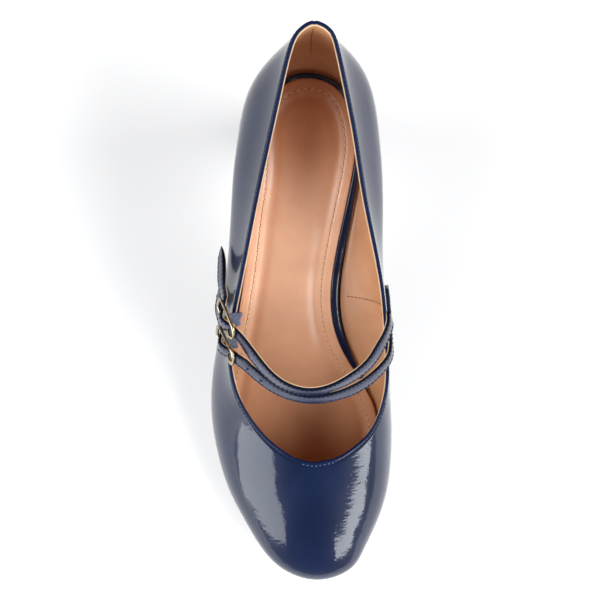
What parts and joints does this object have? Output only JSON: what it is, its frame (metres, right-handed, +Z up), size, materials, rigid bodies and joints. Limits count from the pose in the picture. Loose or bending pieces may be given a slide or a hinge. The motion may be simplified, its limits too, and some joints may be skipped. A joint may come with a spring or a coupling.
{
  "type": "mary jane pump",
  "caption": "Round-toe high-heeled mary jane pump in navy patent leather, tan lined, with slim buckled straps over the instep and a covered block heel.",
  "frame": {"origin": "centre of the top lift's tread on the floor", "axes": "+Z up, -Y towards the toe, +X towards the inner side of the foot"},
  "size_m": [0.0832, 0.2303, 0.131],
  "materials": {
    "patent_leather": "glossy navy patent",
    "insole_sock": "smooth tan leather",
    "outsole": "plain dark sole leather",
    "top_lift": "matt black rubber",
    "buckle_metal": "pale gold plate",
    "elastic_web": "woven navy elastic"
  },
  "bodies": {
    "root": {"upper": "patent_leather", "insole": "insole_sock", "insole_rim": "patent_leather", "outsole": "outsole", "heel": "patent_leather", "top_lift": "top_lift", "strap_rear": "patent_leather", "strap_front": "patent_leather", "buckle_rear": "buckle_metal", "buckle_front": "buckle_metal", "prong_rear": "buckle_metal", "prong_front": "buckle_metal", "elastic_rear": "elastic_web", "elastic_front": "elastic_web"}
  },
  "joints": []
}
